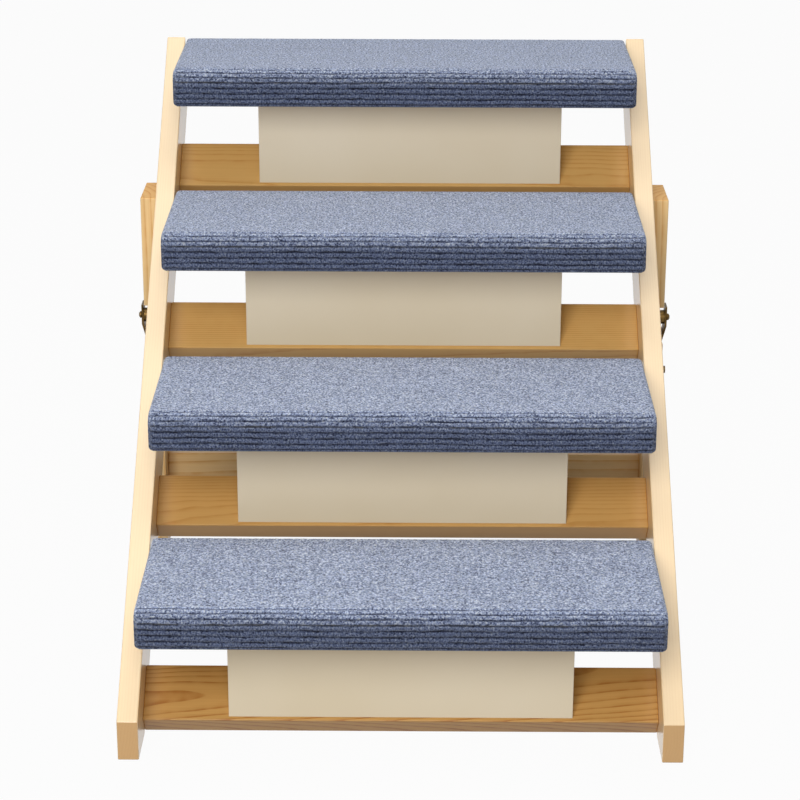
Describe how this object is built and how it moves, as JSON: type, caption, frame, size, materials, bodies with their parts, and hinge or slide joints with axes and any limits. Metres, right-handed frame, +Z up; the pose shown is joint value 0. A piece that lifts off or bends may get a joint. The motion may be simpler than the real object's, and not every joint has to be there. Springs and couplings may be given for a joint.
{
  "type": "folding pet stairs",
  "caption": "Folding pet stairs: two sloping wooden rails, carpeted treads that tip on pins, hinged support boards and a folding rear leg frame.",
  "frame": {"origin": "on the floor, at the middle of the part's width and depth", "axes": "+Z up, +Y from the lowest step towards the highest, +X to the right of someone facing the steps"},
  "size_m": [0.5336, 0.61, 0.5],
  "materials": {
    "pine_frame": "clear satin lacquer on planed pine",
    "pine_slat": "clear satin lacquer on planed pine",
    "cream_board": "smooth pale cream satin",
    "carpet": "ribbed blue needle-felt carpet",
    "zinc_steel": "zinc plated",
    "old_brass": "dark antique brass"
  },
  "bodies": {
    "frame": {"rail_left": "pine_frame", "rail_right": "pine_frame", "slat_1": "pine_slat", "slat_2": "pine_slat", "slat_3": "pine_slat", "slat_4": "pine_slat", "slat_screws": "zinc_steel", "tread_pivot_pins": "zinc_steel", "leg_pivot_bolts": "zinc_steel", "leg_insert_nuts": "zinc_steel", "leg_washers": "zinc_steel", "slat_hinge_screws": "zinc_steel", "slat_hinge_leaves_1": "zinc_steel", "slat_hinge_leaves_2": "zinc_steel", "slat_hinge_leaves_3": "zinc_steel", "slat_hinge_leaves_4": "zinc_steel"},
    "tread_1": {"tread_board_1": "pine_slat", "tread_carpet_1": "carpet"},
    "support_1": {"support_board_1": "cream_board", "board_hinge_leaves_1": "zinc_steel", "board_hinge_screws_1": "zinc_steel"},
    "tread_2": {"tread_board_2": "pine_slat", "tread_carpet_2": "carpet"},
    "support_2": {"support_board_2": "cream_board", "board_hinge_leaves_2": "zinc_steel", "board_hinge_screws_2": "zinc_steel"},
    "tread_3": {"tread_board_3": "pine_slat", "tread_carpet_3": "carpet"},
    "support_3": {"support_board_3": "cream_board", "board_hinge_leaves_3": "zinc_steel", "board_hinge_screws_3": "zinc_steel"},
    "tread_4": {"tread_board_4": "pine_slat", "tread_carpet_4": "carpet"},
    "support_4": {"support_board_4": "cream_board", "board_hinge_leaves_4": "zinc_steel", "board_hinge_screws_4": "zinc_steel"},
    "upper_legs": {"upper_leg_left": "pine_frame", "upper_leg_right": "pine_frame", "upper_cross_bar": "pine_frame", "upper_bar_screws": "zinc_steel", "knee_plates": "old_brass", "knee_plate_screws": "old_brass"},
    "lower_legs": {"lower_leg_left": "pine_frame", "lower_leg_right": "pine_frame", "lower_cross_bar": "pine_frame", "lower_bar_screws": "zinc_steel", "knee_straps": "old_brass", "knee_strap_screws": "old_brass", "knee_pins": "old_brass", "knee_bushes": "old_brass"}
  },
  "joints": [
    {"name": "tread_1_tip", "type": "hinge", "parent": "frame", "child": "tread_1", "pos_m": [0, -0.161, 0.1235], "axis": [-1, 0, 0], "range_deg": [0, 75]},
    {"name": "support_1_fold", "type": "hinge", "parent": "frame", "child": "support_1", "pos_m": [0, -0.23997, 0.03432], "axis": [-1, 0, 0], "range_deg": [0, 50]},
    {"name": "tread_2_tip", "type": "hinge", "parent": "frame", "child": "tread_2", "pos_m": [0, -0.011, 0.2415], "axis": [-1, 0, 0], "range_deg": [0, 75]},
    {"name": "support_2_fold", "type": "hinge", "parent": "frame", "child": "support_2", "pos_m": [0, -0.08997, 0.15232], "axis": [-1, 0, 0], "range_deg": [0, 50]},
    {"name": "tread_3_tip", "type": "hinge", "parent": "frame", "child": "tread_3", "pos_m": [0, 0.139, 0.3595], "axis": [-1, 0, 0], "range_deg": [0, 75]},
    {"name": "support_3_fold", "type": "hinge", "parent": "frame", "child": "support_3", "pos_m": [0, 0.06003, 0.27032], "axis": [-1, 0, 0], "range_deg": [0, 50]},
    {"name": "tread_4_tip", "type": "hinge", "parent": "frame", "child": "tread_4", "pos_m": [0, 0.289, 0.4775], "axis": [-1, 0, 0], "range_deg": [0, 75]},
    {"name": "support_4_fold", "type": "hinge", "parent": "frame", "child": "support_4", "pos_m": [0, 0.21003, 0.38832], "axis": [-1, 0, 0], "range_deg": [0, 50]},
    {"name": "rear_leg_swing", "type": "hinge", "parent": "frame", "child": "upper_legs", "pos_m": [0, 0.17208, 0.344], "axis": [-1, 0, 0], "range_deg": [0, 50]},
    {"name": "knee_fold", "type": "hinge", "parent": "upper_legs", "child": "lower_legs", "pos_m": [0, 0.20009, 0.238], "axis": [1, 0, 0], "range_deg": [0, 90]}
  ]
}
